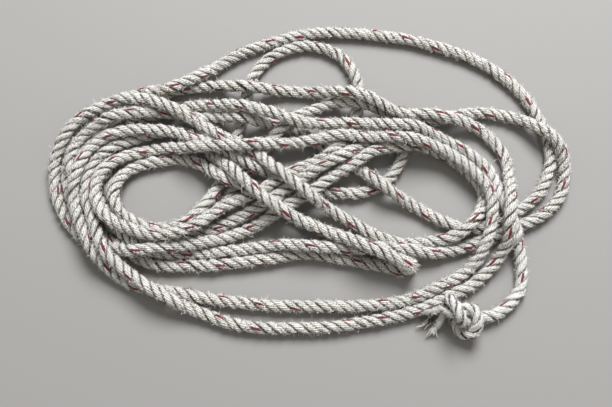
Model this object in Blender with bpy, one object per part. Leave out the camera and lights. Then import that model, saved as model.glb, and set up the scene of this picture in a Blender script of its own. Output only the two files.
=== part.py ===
"""Old laid rope in a loose flat coil: one piece of rope with a stopper knot at one end.

The rope lies as it was dropped, turn on turn. ROUTE gives its way in plan and how many ropes it
lies on, and settle() lets it sink until it rests on the floor and on itself. The solid is one
closed tube along that line, its stopper knot is a true overhand knot in the same tube, and the
knot's tail ends in three unlaid strands.

Metres, +Z up. The origin is under the middle of the coil, on the floor it lies on.
"""

import bmesh
import bpy
import numpy as np
from mathutils import Matrix, Quaternion, Vector

MM = 0.001

# Driving sizes, in millimetres
ROPE_DIAMETER = 12.0
TUBE_RADIUS = 5.9  # to the tube's corners
FOOT = 0.9  # corners that come this near the floor are pressed flat on it
SIDES = 8  # of the tube, with one side down
RING_SPACING = 20.4  # along straight rope
RING_TURN = 0.28  # radians of bend from one ring to the next

MIDDLE = (3.1, 26.9)  # of the settled coil, in the route's own x and y

# Settling, in millimetres
NODE_SPACING = 6.0
TOUCHING = ROPE_DIAMETER + 0.4  # between two centre lines that lie against each other
APART = 5  # steps along the rope within which it can't touch itself
LAYER = 11.0  # first guess at the rise over each rope below
SINK = 0.5  # fall in each round
STIFFNESS = 5.0
ROUNDS = 180
CALM_ROUNDS = 20  # the last rounds, with less weight and stiffness, which clear what still overlaps
SEEN, HIDDEN = 0.6, 0.03  # how firmly a turn keeps its place in plan
KNOTTED = 0.151  # the same, in the knot, which the settling leaves tight
KNOT_SQUEEZE = 0.87  # how near the rope lies to itself in the knot, against elsewhere

# Each turn: its name, how firmly it stays, and its points as x_mm, y_mm, ropes_below
ROUTE = (
    ("stopper knot", KNOTTED, (
        (121, -106, 1), (129, -106, 1.1), (137, -106, 1.2), (144, -106, 1.2), (151, -104.5, 1.2),
        (157, -108, 1.3), (159.5, -116, 1.3), (158.5, -123.5, 1), (154.5, -129, 0.6),
        (149, -129, 0.2), (145, -123, 0), (140.5, -112.5, 0.1), (136, -103, 1), (133.5, -99.5, 1.5),
        (135.5, -102, 1.9), (139, -108, 2), (143, -115, 1.7), (148.5, -119.5, 0.8),
        (155.5, -118.5, 0.3), (165, -115, 0.2),
    )),
    ("from the knot up the right side", SEEN, (
        (183, -110, 0.1), (206, -87, 0), (208, -57, 0), (205, -44, 0), (200, -24, 0.8), (193, 6, 1),
        (180, 36, 0.8), (152, 58, 0.9), (112, 71, 1.4), (89, 73, 2), (64, 77, 1.2), (39, 79, 0.6),
        (12, 79, 0.8), (-8, 77, 1.4), (-26, 83, 1.1), (-44, 89, 1), (-67, 93, 1), (-93, 98, 0.3),
        (-113, 98, 0.2),
    )),
    ("first turn of the left side", HIDDEN, (
        (-149, 92, 0), (-186, 81, 0), (-209, 56, 0), (-215, 18, 0), (-201, -20, 0), (-171, -42, 0),
        (-133, -51, 0),
    )),
    ("middle run to the right", SEEN, (
        (-111, -52, 0.3), (-91, -53, 0.3), (-69, -50, 0), (-21, -46, 0), (4, -47, 0.1), (23, -48, 0.6),
        (67, -49, 0.6), (106, -52, 0), (145, -48, 0.3), (185, -35, 0.2), (201, -27, 0),
    )),
    ("outer loop of the right side", SEEN, (
        (231, -15, 0), (255, 11, 0), (257, 45, 0.2), (249, 61, 0.6), (235, 74, 1), (218, 85, 0.8),
        (178, 94, 0.2), (124, 83, 0), (107, 77, 0.4), (92, 69, 1),
    )),
    ("first slanting run", SEEN, (
        (44, 50, 1), (30, 42, 1.2), (16, 34, 1), (-14, 14, 1), (-30, 2, 1.1), (-82, -24, 0.4),
        (-99, -32, 0.3),
    )),
    ("second turn of the left side", HIDDEN, (
        (-116, -38, 0), (-135, -42, 0), (-193, -29, 0), (-219, 2, 0), (-227, 18, 0),
    )),
    ("low run along the top", SEEN, (
        (-235, 32, 0.5), (-230, 54, 0.6), (-222, 64, 0.6), (-198, 79, 0.6), (-183, 84, 0.6),
        (-149, 91, 0), (-88, 89, 0), (-67, 86, 0),
    )),
    ("slant down to the right", SEEN, (
        (-10, 74, 0), (22, 54, 0), (54, 33, 0.2), (68, 20, 0.8), (83, 9, 0.9), (113, -8, 0.1),
        (128, -17, 0), (161, -27, 0), (181, -24, 0),
    )),
    ("big loop round the top", SEEN, (
        (230, 7, 0), (245, 38, 0), (246, 56, 0), (242, 76, 0), (221, 116, 0), (181, 150, 0),
        (122, 172, 0), (88, 179, 0), (23, 184, 0), (-6, 180, 0), (-62, 163, 0), (-85, 150, 0.2),
        (-106, 134, 0.7), (-124, 122, 1), (-142, 115, 0.6), (-160, 111, 0),
    )),
    ("third turn of the left side", HIDDEN, (
        (-179, 104, 0), (-216, 91, 0), (-228, 80, 0), (-239, 49, 0), (-235, 12, 0), (-217, -19, 0),
        (-203, -33, 0.6), (-187, -43, 0.9),
    )),
    ("second slanting run", SEEN, (
        (-133, -48, 0.9), (-79, -37, 0.2), (-47, -24, 0.6), (-33, -16, 1), (8, 9, 1), (22, 20, 0.8),
        (52, 41, 1), (66, 50, 0.9), (97, 55, 1.2),
    )),
    ("inner turn of the right side", SEEN, (
        (115, 56, 0.4), (131, 52, 0.4), (160, 33, 0.4), (177, 6, 0.6), (165, -20, 0.9), (153, -31, 1),
        (140, -38, 0.7), (108, -43, 0.7), (91, -43, 0.7),
    )),
    ("slant up to the left", SEEN, (
        (74, -37, 0.4), (40, -18, 0.1), (23, -9, 0.8), (9, -1, 2), (-32, 30, 1.8), (-46, 41, 1.3),
        (-78, 60, 1.2),
    )),
    ("outermost turn of the left side", SEEN, (
        (-94, 71, 1), (-139, 93, 1.2), (-176, 101, 1), (-226, 84, 0.9), (-244, 57, 0.5), (-249, 27, 0),
        (-237, -13, 0), (-215, -38, 0), (-196, -48, 0.3), (-175, -55, 0.8),
    )),
    ("lower run to the right", SEEN, (
        (-110, -61, 0.3), (-66, -60, 0.1), (-6, -52, 0), (16, -53, 0), (75, -65, 0),
    )),
    ("fold under the plain end", HIDDEN, (
        (97, -69, 0), (103, -63, 0), (102, -54, 0), (84, -48, 0), (70, -47, 0), (53, -42, 0),
        (-8, -17, 0), (-42, 2, 0.1), (-55, 11, 0.4),
    )),
    ("small inner ring on the left", SEEN, (
        (-69, 17, 1), (-98, 35, 0.7), (-114, 41, 0.6), (-130, 45, 0.7), (-159, 41, 1), (-183, 26, 1),
        (-190, 2, 1), (-174, -19, 1), (-145, -30, 1), (-118, -26, 1), (-98, -6, 0.4), (-82, 32, 0),
        (-69, 76, 0),
    )),
    ("loop that stands out at the top", SEEN, (
        (-60, 118, 0), (-55, 134, 0), (-35, 157, 0.4), (-4, 169, 0.3), (28, 162, 0), (41, 151, 0),
        (54, 122, 0), (42, 64, 0), (22, 44, 0.2),
    )),
    ("third slanting run", SEEN, (
        (-6, 32, 0.6), (-20, 24, 1), (-73, -3, 0.7), (-114, -30, 1.5), (-129, -36, 1.2),
        (-146, -38, 1.2), (-192, -20, 1), (-206, 7, 1), (-205, 21, 1.1), (-200, 33, 1.3), (-179, 47, 2),
    )),
    ("long turn over the middle", SEEN, (
        (-145, 52, 2), (-82, 51, 2.3), (-60, 51, 2.2), (-38, 55, 1.6), (9, 61, 1.2), (55, 63, 2),
        (98, 59, 2.2), (139, 48, 1.4), (169, 24, 1.3), (179, 9, 1.2), (180, -22, 1.2), (169, -52, 0.8),
        (160, -65, 0.2), (132, -85, 0), (95, -98, 0),
    )),
    ("bottom run, upper", SEEN, (
        (52, -103, 0), (-20, -103, 0), (-44, -102, 0), (-114, -93, 0), (-172, -80, 0.1),
        (-199, -58, 0.4), (-217, -29, 1.1), (-226, 3, 1.1), (-217, 44, 1), (-209, 54, 1), (-186, 68, 1),
        (-136, 70, 1), (-103, 58, 1.3),
    )),
    ("low slant under the middle", SEEN, (
        (-59, 38, 1), (-29, 26, 0.2), (19, 10, 0), (37, 9, 0), (54, 9, 0), (82, 23, 0), (98, 49, 0),
        (98, 76, 0), (90, 88, 0.1),
    )),
    ("small bight at the top", SEEN, (
        (75, 96, 0.3), (59, 100, 0.7), (42, 103, 0.6), (25, 103, 0), (-6, 89, 0), (-39, 57, 0),
        (-73, 8, 0), (-82, -2, 0.1), (-95, -10, 0.1),
    )),
    ("fourth turn of the left side", HIDDEN, (
        (-110, -21, 0.1), (-147, -30, 0), (-181, -18, 0), (-195, 8, 0), (-195, 41, 0), (-194, 75, 0),
        (-186, 90, 0),
    )),
    ("straight run along the top", SEEN, (
        (-142, 116, 0), (-104, 123, 0.2), (-57, 118, 1), (-10, 117, 0.2), (14, 115, 0.2),
        (59, 103, 1.2), (92, 90, 0.8),
    )),
    ("turn that crosses the right loops", SEEN, (
        (107, 87, 0.7), (123, 88, 0.9), (159, 82, 1), (176, 75, 0.6), (189, 63, 0.4), (199, 48, 0.4),
        (202, 31, 0.8), (200, 10, 1.8), (195, -25, 2.2), (195, -40, 1.4), (190, -52, 0.5),
        (165, -79, 0), (99, -109, 0),
    )),
    ("bottom run, lower", SEEN, (
        (32, -122, 0), (9, -124, 0), (-60, -122, 0.1), (-100, -110, 0.9), (-139, -92, 0.9),
        (-157, -82, 0.6), (-186, -58, 0.8), (-195, -44, 1.1), (-202, -29, 1.1), (-215, 16, 1.1),
        (-206, 41, 1.1), (-197, 50, 1), (-186, 59, 0.7), (-158, 70, 0), (-142, 73, 0), (-113, 69, 0),
    )),
    ("last run, to the plain end", SEEN, (
        (-91, 46, 0.7), (-78, 34, 1), (-65, 19, 1.6), (-20, -15, 2), (14, -30, 1.2), (33, -39, 1.4),
        (88, -61, 1.1), (104, -68, 1),
    )),
)

# The plain end is a little swollen: distance from the end, and how much wider the rope is there
END_SWELL = ((0.0, 1.12), (4.0, 1.22), (12.0, 1.10), (24.0, 1.00))

# Where the knot squeezes the rope: distance from the knot's tail, and how much thinner it is there
KNOT_SWELL = ((0.0, 1.00), (12.0, 0.87), (160.0, 0.87), (180.0, 1.00))

# The knot's tail, unlaid: each strand from its root to its tip, as x_mm, y_mm, z_mm, radius_mm,
# measured from the centre of the rope's end
STRANDS = (
    ((6, 1, 0, 3.4), (0, -1, 0, 4.8), (-5, -2, -1, 5.2), (-10, -2, -3, 4.2)),
    ((8, -2, -1, 3.0), (4, -6, -6, 3.3), (-2, -10, -11, 3.0), (-9, -14, -14, 2.0)),
    ((9, -3, 0, 3.0), (7, -9, -5, 3.1), (3, -16, -11, 2.8), (-3, -22, -14, 1.9)),
)
STRAND_FLAT = 0.8  # thickness of a strand against its width

ROPE_COLOUR = (0.78, 0.74, 0.66, 1.0)


def smooth_line(points, spacing):
    """Evenly spaced points along a centripetal Catmull-Rom curve through the given ones."""
    points = np.asarray(points, float)
    ends = 2 * points[0] - points[1], 2 * points[-1] - points[-2]
    points = np.vstack([ends[0], points, ends[1]])
    knots = np.append(0, np.cumsum(np.linalg.norm(np.diff(points, axis=0), axis=1) ** 0.5))
    fine = []
    for k in range(1, len(points) - 2):
        t0, t1, t2, t3 = knots[k - 1 : k + 3]
        t = np.linspace(t1, t2, 12, endpoint=False)[:, None]
        a1 = ((t1 - t) * points[k - 1] + (t - t0) * points[k]) / (t1 - t0)
        a2 = ((t2 - t) * points[k] + (t - t1) * points[k + 1]) / (t2 - t1)
        a3 = ((t3 - t) * points[k + 1] + (t - t2) * points[k + 2]) / (t3 - t2)
        b1 = ((t2 - t) * a1 + (t - t0) * a2) / (t2 - t0)
        b2 = ((t3 - t) * a2 + (t - t1) * a3) / (t3 - t1)
        fine.append(((t2 - t) * b1 + (t - t1) * b2) / (t2 - t1))
    fine = np.vstack(fine + [points[-2:-1]])
    along = np.append(0, np.cumsum(np.linalg.norm(np.diff(fine, axis=0), axis=1)))
    places = np.linspace(0, along[-1], round(along[-1] / spacing) + 1)
    return np.column_stack([np.interp(places, along, fine[:, axis]) for axis in range(3)])


def steps_near(line, reach, apart):
    """Pairs of steps of the line whose middles are within reach, at least so many steps apart."""
    middles = (line[:-1] + line[1:]) / 2
    found = []
    for first in range(0, len(middles), 200):
        gaps = np.linalg.norm(middles[first : first + 200, None] - middles[None], axis=2)
        one, other = np.nonzero(gaps < reach)
        found.append(np.stack([one + first, other]))
    one, other = np.concatenate(found, axis=1)
    keep = other - one >= apart
    return one[keep], other[keep]


def nearest(line, one, other):
    """How far along each step of a pair the two come nearest, and the vector between them there."""
    start, end = line[one], line[other]
    along, across = line[one + 1] - start, line[other + 1] - end
    between = start - end
    aa, ab, bb = (along**2).sum(1), (along * across).sum(1), (across**2).sum(1)
    ag, bg = (along * between).sum(1), (across * between).sum(1)
    s = np.clip((ab * bg - bb * ag) / np.maximum(aa * bb - ab**2, 1e-9 * aa * bb), 0, 1)
    t = np.clip((ab * s + bg) / bb, 0, 1)
    s = np.clip((ab * t - ag) / aa, 0, 1)
    return s, t, between + s[:, None] * along - t[:, None] * across


def part_touching(line, one, other, reach):
    """Moves each pair of steps that lie too close apart, half the way each."""
    s, t, gap = nearest(line, one, other)
    distance = np.linalg.norm(gap, axis=1)
    close = distance < reach
    one, other, s, t = one[close], other[close], s[close, None], t[close, None]
    push = gap[close] * ((reach[close] / np.maximum(distance[close], 0.001) - 1) / 2)[:, None]
    move, share = np.zeros_like(line), np.zeros((len(line), 1))
    ends = (one, 1 - s, 1), (one + 1, s, 1), (other, 1 - t, -1), (other + 1, t, -1)
    for node, weight, sign in ends:
        np.add.at(move, node, sign * weight * push)
        np.add.at(share, node, weight)
    line += 1.5 * move / np.maximum(share, 1)


def smoothing(stiffness):
    """The matrix that spreads a move of one point along the rope as far as its stiffness does."""
    bending = np.eye(len(stiffness))
    inner = np.arange(1, len(stiffness) - 1)
    bend = (-1, 1), (0, -2), (1, 1)
    for row, share in bend:
        for column, other_share in bend:
            bending[inner + row, inner + column] += stiffness[inner] * share * other_share
    return np.linalg.inv(bending)


def settle(line, hold):
    """The line after it has sunk, as a stiff rope does, on to the floor and on to itself."""
    home, line = line.copy(), line.copy()
    knotted = hold == KNOTTED
    stiff = smoothing(np.where(knotted, 0.2, STIFFNESS))
    easy = smoothing(np.where(knotted, 0.1, STIFFNESS / 12))
    for turn in range(ROUNDS + CALM_ROUNDS):
        calm = turn >= ROUNDS
        if turn % 10 == 0:
            one, other = steps_near(line, TOUCHING + 2 * NODE_SPACING, APART)
            reach = TOUCHING * np.where(knotted[one] & knotted[other], KNOT_SQUEEZE, 1.0)
        smooth = easy if calm else stiff
        pull = hold[:, None] / (8 if calm else 1)
        line[:, 2] = smooth @ (line[:, 2] - (0 if calm else SINK) * ~knotted)
        line[knotted, 2] += (home[knotted, 2] - line[knotted, 2]) * KNOTTED
        line[:, :2] = home[:, :2] + smooth @ ((line - home)[:, :2] * (1 - pull))
        for _ in range(30 if calm else 6):
            part_touching(line, one, other, reach)
            line[:, 2] = np.maximum(line[:, 2], ROPE_DIAMETER / 2)
    return line


def rope_line():
    """The settled centre line, in millimetres, from the knot's tail to the plain end."""
    rows = []
    for _, hold, turn in ROUTE:
        rows += [(x, y, ROPE_DIAMETER / 2 + LAYER * below, hold) for x, y, below in turn]
    rows = np.array(rows)
    line = smooth_line(rows[:, :3], NODE_SPACING)
    nearest_row = np.argmin(np.linalg.norm(line[:, None, :2] - rows[None, :, :2], axis=2), axis=1)
    return settle(line, rows[nearest_row, 3])


def ring_places(line):
    """Distances along the line at which the tube has its rings: more of them where it bends more."""
    steps = np.diff(line, axis=0)
    lengths = np.linalg.norm(steps, axis=1)
    along = np.append(0, np.cumsum(lengths))
    cosines = (steps[1:] * steps[:-1]).sum(1) / (lengths[1:] * lengths[:-1])
    bends = np.append(0, np.arccos(np.clip(cosines, -1, 1)))
    bends = np.convolve(bends, np.ones(5) / 5, mode="same")
    density = np.maximum(1 / RING_SPACING, bends / lengths / RING_TURN)
    rings = np.append(0, np.cumsum(density * lengths))
    return np.interp(np.linspace(0, rings[-1], round(rings[-1]) + 1), rings, along), along


def ring_frames(points):
    """A side and an up direction for each ring, turned as little as can be, with a flat side down."""
    tangents = np.gradient(points, axis=0)
    tangents /= np.linalg.norm(tangents, axis=1, keepdims=True)
    side = Vector((0, 0, 1)).cross(Vector(tangents[0])).normalized()
    frames = []
    flat = 2 * np.pi / SIDES
    for k, tangent in enumerate(map(Vector, tangents)):
        if k:
            side = Vector(tangents[k - 1]).rotation_difference(tangent) @ side
        side = (side - side.dot(tangent) * tangent).normalized()
        level = Vector((0, 0, 1)).cross(tangent)
        if level.length > 0.5:
            turn = np.arctan2(side.cross(level).dot(tangent), side.dot(level))
            turn = (turn + flat / 2) % flat - flat / 2
            side = Quaternion(tangent, float(np.clip(turn, -0.15, 0.15))) @ side
        frames.append((side, tangent.cross(side)))
    return frames


def tube(name, points, radii, flatness=1.0):
    """One closed tube through the points, capped at each end, pressed flat where it meets the floor."""
    mesh = bmesh.new()
    rings = []
    for (side, up), point, radius in zip(ring_frames(points), points, radii):
        ring = []
        for k in range(SIDES):
            angle = 2 * np.pi * (k + 0.5) / SIDES
            offset = side * float(np.cos(angle)) + up * float(flatness * np.sin(angle))
            corner = Vector(point) + offset * float(radius)
            if corner.z < FOOT:
                corner.z = 0.0
            ring.append(mesh.verts.new(corner * MM))
        rings.append(ring)
    for ring, after in zip(rings, rings[1:]):
        for k in range(SIDES):
            mesh.faces.new((ring[k - 1], ring[k], after[k], after[k - 1]))
    mesh.faces.new(rings[0])
    mesh.faces.new(reversed(rings[-1]))
    bmesh.ops.recalc_face_normals(mesh, faces=mesh.faces)
    data = bpy.data.meshes.new(name)
    mesh.to_mesh(data)
    mesh.free()
    obj = bpy.data.objects.new(name, data)
    bpy.context.scene.collection.objects.link(obj)
    return obj


def laid_rope(line):
    """The whole rope, knot included, as one tube."""
    places, along = ring_places(line)
    points = np.column_stack([np.interp(places, along, line[:, axis]) for axis in range(3)])
    from_end = along[-1] - places
    swell = np.interp(from_end, *zip(*END_SWELL)) * np.interp(places, *zip(*KNOT_SWELL))
    return tube("rope", points, TUBE_RADIUS * swell)


def join_strands(rope, end):
    """Adds the unlaid strands of the knot's tail to the rope, as one solid."""
    for number, rows in enumerate(STRANDS):
        centre = smooth_line([(end[0] + x, end[1] + y, end[2] + z) for x, y, z, _ in rows], 4.0)
        share = np.linspace(0, 1, len(centre))
        radii = np.interp(share, np.linspace(0, 1, len(rows)), [row[3] for row in rows])
        strand = tube(f"strand_{number}", centre, radii, STRAND_FLAT)
        union = rope.modifiers.new("join", "BOOLEAN")
        union.operation = "UNION"
        union.solver = "EXACT"
        union.object = strand
        graph = bpy.context.evaluated_depsgraph_get()
        joined = bpy.data.meshes.new_from_object(rope.evaluated_get(graph))
        rope.modifiers.clear()
        rope.data = joined
        bpy.data.objects.remove(strand)


def rope_material():
    material = bpy.data.materials.new("laid_rope")
    material.use_nodes = True
    shader = material.node_tree.nodes["Principled BSDF"]
    shader.inputs["Base Color"].default_value = ROPE_COLOUR
    shader.inputs["Roughness"].default_value = 0.95
    shader.inputs["Metallic"].default_value = 0.0
    return material


def clear_scene():
    for obj in list(bpy.data.objects):
        bpy.data.objects.remove(obj)


def main():
    clear_scene()
    line = rope_line()
    rope = laid_rope(line)
    join_strands(rope, line[0])
    rope.data.name = "rope"
    rope.data.materials.clear()
    rope.data.materials.append(rope_material())
    rope.data.transform(Matrix.Translation((-MIDDLE[0] * MM, -MIDDLE[1] * MM, 0)))


main()
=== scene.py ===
"""Looks for the coiled laid rope: its strands, frayed ends and raised fibres, and the stage.

A Blender add-on that is run as a script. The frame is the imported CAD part, in metres, with +Z up
and the origin under the middle of the coil. The rope's centre line is worked out here as it is in
the part's source, and all that shows is built along it. Lengths are in millimetres and distances
are from the tail end, at the knot, where a comment says nothing else.
"""

import functools

import bpy
import numpy as np
from bpy.props import FloatProperty, IntProperty, PointerProperty, StringProperty
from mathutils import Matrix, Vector


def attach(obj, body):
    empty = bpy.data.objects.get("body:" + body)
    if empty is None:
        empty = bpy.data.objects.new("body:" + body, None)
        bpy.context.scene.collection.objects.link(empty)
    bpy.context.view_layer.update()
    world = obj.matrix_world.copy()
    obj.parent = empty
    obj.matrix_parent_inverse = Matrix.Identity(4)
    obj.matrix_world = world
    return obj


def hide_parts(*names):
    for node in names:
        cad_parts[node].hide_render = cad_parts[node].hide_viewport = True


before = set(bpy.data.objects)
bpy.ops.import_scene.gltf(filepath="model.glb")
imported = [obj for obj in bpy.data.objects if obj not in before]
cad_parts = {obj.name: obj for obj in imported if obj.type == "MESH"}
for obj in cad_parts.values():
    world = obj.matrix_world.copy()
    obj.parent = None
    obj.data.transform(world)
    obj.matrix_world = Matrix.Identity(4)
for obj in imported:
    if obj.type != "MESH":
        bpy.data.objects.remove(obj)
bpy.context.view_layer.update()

bl_info = {
    "name": "Coiled laid rope",
    "version": (1, 0, 0),
    "blender": (4, 5, 0),
    "location": "3D View > Sidebar > Rope",
    "description": "A worn three-strand rope in a loose coil, with its knot, frays and fibres",
    "category": "Object",
}

MM = 0.001
NODE = "rope"

# The coil
ROPE_DIAMETER = 12.0
MIDDLE = (3.1, 26.9)  # of the settled coil, in the route's own x and y
CURVE_STEPS = 12  # of a smooth curve, from one given point to the next

# Settling
NODE_SPACING = 6.0
TOUCHING = ROPE_DIAMETER + 0.4  # between the centre lines of two lengths that touch
APART = 5  # steps along the rope within which it can't touch itself
AT_ONCE = 200  # steps compared with all the others together
LAYER = 11.0  # first guess at the rise over each rope below
SINK = 0.5  # fall in each round
STIFFNESS, KNOT_STIFFNESS = 5.0, 0.2
ROUNDS = 180
RECHECK = 10  # rounds between two searches for what may touch
PUSHES = 6  # times in a round that touching lengths move apart
OVERSHOOT = 1.5  # how much further than the overlap
SEEN, HIDDEN = 0.6, 0.03  # how firmly a turn keeps its place in plan
KNOTTED = 0.151  # the same, in the knot, which stays tight
KNOT_SQUEEZE = 0.87  # how near the rope lies to itself in the knot, against elsewhere

# The last rounds, with no weight and less stiffness, clear what still overlaps
CALM_ROUNDS = 20
CALM_STIFFNESS, CALM_KNOT_STIFFNESS = STIFFNESS / 12, 0.1
CALM_PUSHES = 30
CALM_EASE = 8  # times less firmly that a turn keeps its place

# Each turn: its name, how firmly it stays, and its points: x, y and, off the floor, ropes below
ROUTE = (
    ("stopper knot", KNOTTED, (
        (121, -106, 1), (129, -106, 1.1), (137, -106, 1.2), (144, -106, 1.2), (151, -104.5, 1.2),
        (157, -108, 1.3), (159.5, -116, 1.3), (158.5, -123.5, 1), (154.5, -129, 0.6),
        (149, -129, 0.2), (145, -123), (140.5, -112.5, 0.1), (136, -103, 1), (133.5, -99.5, 1.5),
        (135.5, -102, 1.9), (139, -108, 2), (143, -115, 1.7), (148.5, -119.5, 0.8),
        (155.5, -118.5, 0.3), (165, -115, 0.2))),
    ("from the knot, up the right side", SEEN, (
        (183, -110, 0.1), (206, -87), (208, -57), (205, -44), (200, -24, 0.8), (193, 6, 1),
        (180, 36, 0.8), (152, 58, 0.9), (112, 71, 1.4), (89, 73, 2), (64, 77, 1.2), (39, 79, 0.6),
        (12, 79, 0.8), (-8, 77, 1.4), (-26, 83, 1.1), (-44, 89, 1), (-67, 93, 1), (-93, 98, 0.3),
        (-113, 98, 0.2))),
    ("left side, first turn", HIDDEN, (
        (-149, 92), (-186, 81), (-209, 56), (-215, 18), (-201, -20), (-171, -42), (-133, -51))),
    ("middle run", SEEN, (
        (-111, -52, 0.3), (-91, -53, 0.3), (-69, -50), (-21, -46), (4, -47, 0.1), (23, -48, 0.6),
        (67, -49, 0.6), (106, -52), (145, -48, 0.3), (185, -35, 0.2), (201, -27))),
    ("right side, outer loop", SEEN, (
        (231, -15), (255, 11), (257, 45, 0.2), (249, 61, 0.6), (235, 74, 1), (218, 85, 0.8),
        (178, 94, 0.2), (124, 83), (107, 77, 0.4), (92, 69, 1))),
    ("first slanting run", SEEN, (
        (44, 50, 1), (30, 42, 1.2), (16, 34, 1), (-14, 14, 1), (-30, 2, 1.1), (-82, -24, 0.4),
        (-99, -32, 0.3))),
    ("left side, second turn", HIDDEN, (
        (-116, -38), (-135, -42), (-193, -29), (-219, 2), (-227, 18))),
    ("low top run", SEEN, (
        (-235, 32, 0.5), (-230, 54, 0.6), (-222, 64, 0.6), (-198, 79, 0.6), (-183, 84, 0.6),
        (-149, 91), (-88, 89), (-67, 86))),
    ("slant down", SEEN, (
        (-10, 74), (22, 54), (54, 33, 0.2), (68, 20, 0.8), (83, 9, 0.9), (113, -8, 0.1), (128, -17),
        (161, -27), (181, -24))),
    ("big top loop", SEEN, (
        (230, 7), (245, 38), (246, 56), (242, 76), (221, 116), (181, 150), (122, 172), (88, 179),
        (23, 184), (-6, 180), (-62, 163), (-85, 150, 0.2), (-106, 134, 0.7), (-124, 122, 1),
        (-142, 115, 0.6), (-160, 111))),
    ("left side, third turn", HIDDEN, (
        (-179, 104), (-216, 91), (-228, 80), (-239, 49), (-235, 12), (-217, -19), (-203, -33, 0.6),
        (-187, -43, 0.9))),
    ("second slanting run", SEEN, (
        (-133, -48, 0.9), (-79, -37, 0.2), (-47, -24, 0.6), (-33, -16, 1), (8, 9, 1), (22, 20, 0.8),
        (52, 41, 1), (66, 50, 0.9), (97, 55, 1.2))),
    ("right side, inner turn", SEEN, (
        (115, 56, 0.4), (131, 52, 0.4), (160, 33, 0.4), (177, 6, 0.6), (165, -20, 0.9),
        (153, -31, 1), (140, -38, 0.7), (108, -43, 0.7), (91, -43, 0.7))),
    ("slant up", SEEN, (
        (74, -37, 0.4), (40, -18, 0.1), (23, -9, 0.8), (9, -1, 2), (-32, 30, 1.8), (-46, 41, 1.3),
        (-78, 60, 1.2))),
    ("left side, outermost turn", SEEN, (
        (-94, 71, 1), (-139, 93, 1.2), (-176, 101, 1), (-226, 84, 0.9), (-244, 57, 0.5), (-249, 27),
        (-237, -13), (-215, -38), (-196, -48, 0.3), (-175, -55, 0.8))),
    ("lower run", SEEN, (
        (-110, -61, 0.3), (-66, -60, 0.1), (-6, -52), (16, -53), (75, -65))),
    ("fold under the end", HIDDEN, (
        (97, -69), (103, -63), (102, -54), (84, -48), (70, -47), (53, -42), (-8, -17),
        (-42, 2, 0.1), (-55, 11, 0.4))),
    ("small inner ring", SEEN, (
        (-69, 17, 1), (-98, 35, 0.7), (-114, 41, 0.6), (-130, 45, 0.7), (-159, 41, 1),
        (-183, 26, 1), (-190, 2, 1), (-174, -19, 1), (-145, -30, 1), (-118, -26, 1), (-98, -6, 0.4),
        (-82, 32), (-69, 76))),
    ("standing-out loop", SEEN, (
        (-60, 118), (-55, 134), (-35, 157, 0.4), (-4, 169, 0.3), (28, 162), (41, 151), (54, 122),
        (42, 64), (22, 44, 0.2))),
    ("third slanting run", SEEN, (
        (-6, 32, 0.6), (-20, 24, 1), (-73, -3, 0.7), (-114, -30, 1.5), (-129, -36, 1.2),
        (-146, -38, 1.2), (-192, -20, 1), (-206, 7, 1), (-205, 21, 1.1), (-200, 33, 1.3),
        (-179, 47, 2))),
    ("long turn over the rest", SEEN, (
        (-145, 52, 2), (-82, 51, 2.3), (-60, 51, 2.2), (-38, 55, 1.6), (9, 61, 1.2), (55, 63, 2),
        (98, 59, 2.2), (139, 48, 1.4), (169, 24, 1.3), (179, 9, 1.2), (180, -22, 1.2),
        (169, -52, 0.8), (160, -65, 0.2), (132, -85), (95, -98))),
    ("bottom run, upper", SEEN, (
        (52, -103), (-20, -103), (-44, -102), (-114, -93), (-172, -80, 0.1), (-199, -58, 0.4),
        (-217, -29, 1.1), (-226, 3, 1.1), (-217, 44, 1), (-209, 54, 1), (-186, 68, 1),
        (-136, 70, 1), (-103, 58, 1.3))),
    ("low slant", SEEN, (
        (-59, 38, 1), (-29, 26, 0.2), (19, 10), (37, 9), (54, 9), (82, 23), (98, 49), (98, 76),
        (90, 88, 0.1))),
    ("small bight", SEEN, (
        (75, 96, 0.3), (59, 100, 0.7), (42, 103, 0.6), (25, 103), (-6, 89), (-39, 57), (-73, 8),
        (-82, -2, 0.1), (-95, -10, 0.1))),
    ("left side, fourth turn", HIDDEN, (
        (-110, -21, 0.1), (-147, -30), (-181, -18), (-195, 8), (-195, 41), (-194, 75), (-186, 90))),
    ("straight top run", SEEN, (
        (-142, 116), (-104, 123, 0.2), (-57, 118, 1), (-10, 117, 0.2), (14, 115, 0.2),
        (59, 103, 1.2), (92, 90, 0.8))),
    ("right side, crossing turn", SEEN, (
        (107, 87, 0.7), (123, 88, 0.9), (159, 82, 1), (176, 75, 0.6), (189, 63, 0.4),
        (199, 48, 0.4), (202, 31, 0.8), (200, 10, 1.8), (195, -25, 2.2), (195, -40, 1.4),
        (190, -52, 0.5), (165, -79), (99, -109))),
    ("bottom run, lower", SEEN, (
        (32, -122), (9, -124), (-60, -122, 0.1), (-100, -110, 0.9), (-139, -92, 0.9),
        (-157, -82, 0.6), (-186, -58, 0.8), (-195, -44, 1.1), (-202, -29, 1.1), (-215, 16, 1.1),
        (-206, 41, 1.1), (-197, 50, 1), (-186, 59, 0.7), (-158, 70), (-142, 73), (-113, 69))),
    ("last run", SEEN, (
        (-91, 46, 0.7), (-78, 34, 1), (-65, 19, 1.6), (-20, -15, 2), (14, -30, 1.2), (33, -39, 1.4),
        (88, -61, 1.1), (104, -68, 1))),
)

# The swollen plain end: distance from it, and the rope's width there against elsewhere
END_SWELL = ((0.0, 1.12), (4.0, 1.22), (12.0, 1.10), (24.0, 1.00))

# The rope squeezed in the knot: distance, and its width there against elsewhere
KNOT_SWELL = ((0.0, 1.00), (12.0, 0.93), (160.0, 0.93), (180.0, 1.00))

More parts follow.
